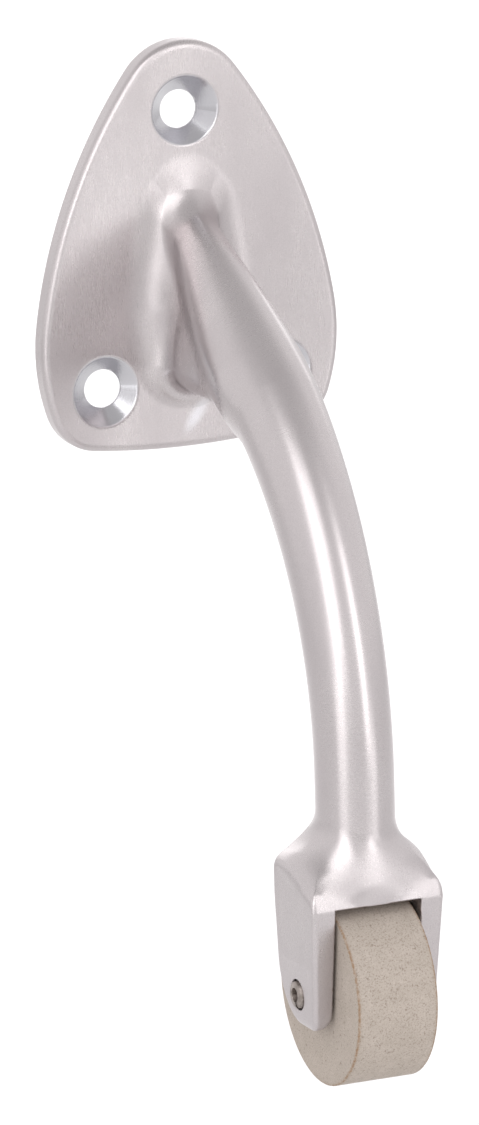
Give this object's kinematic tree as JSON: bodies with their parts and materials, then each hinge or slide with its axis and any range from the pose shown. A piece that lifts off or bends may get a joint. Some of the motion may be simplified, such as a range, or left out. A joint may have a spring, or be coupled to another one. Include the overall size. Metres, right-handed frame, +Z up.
{
  "type": "roller door stop",
  "caption": "Cast plate with countersunk screw holes and a curved arm whose forked end carries a free-turning rubber roller on a cross pin.",
  "frame": {"origin": "on the plate's back face, on its middle line, about midway between the upper and the lower screw holes", "axes": "+Y is the outward normal of the plate's back face, into the wall or door it is screwed to; +Z runs up the plate towards its narrow end; +X is to the right, along the roller's axle"},
  "size_m": [0.0546, 0.0822, 0.1654],
  "materials": {
    "satin_metal": "satin plated casting, finely brushed",
    "grey_rubber": "matt, speckled",
    "bushing_metal": "plain turned sleeve",
    "pin_steel": "dull spring steel"
  },
  "bodies": {
    "frame_body": {"body_casting": "satin_metal", "axle_pin": "pin_steel"},
    "roller_body": {"rubber_roller": "grey_rubber", "roller_bushing": "bushing_metal"}
  },
  "joints": [
    {"name": "roller_spin", "type": "hinge", "parent": "frame_body", "child": "roller_body", "pos_m": [0, -0.0663, -0.1161], "axis": [1, 0, 0], "continuous": true}
  ]
}
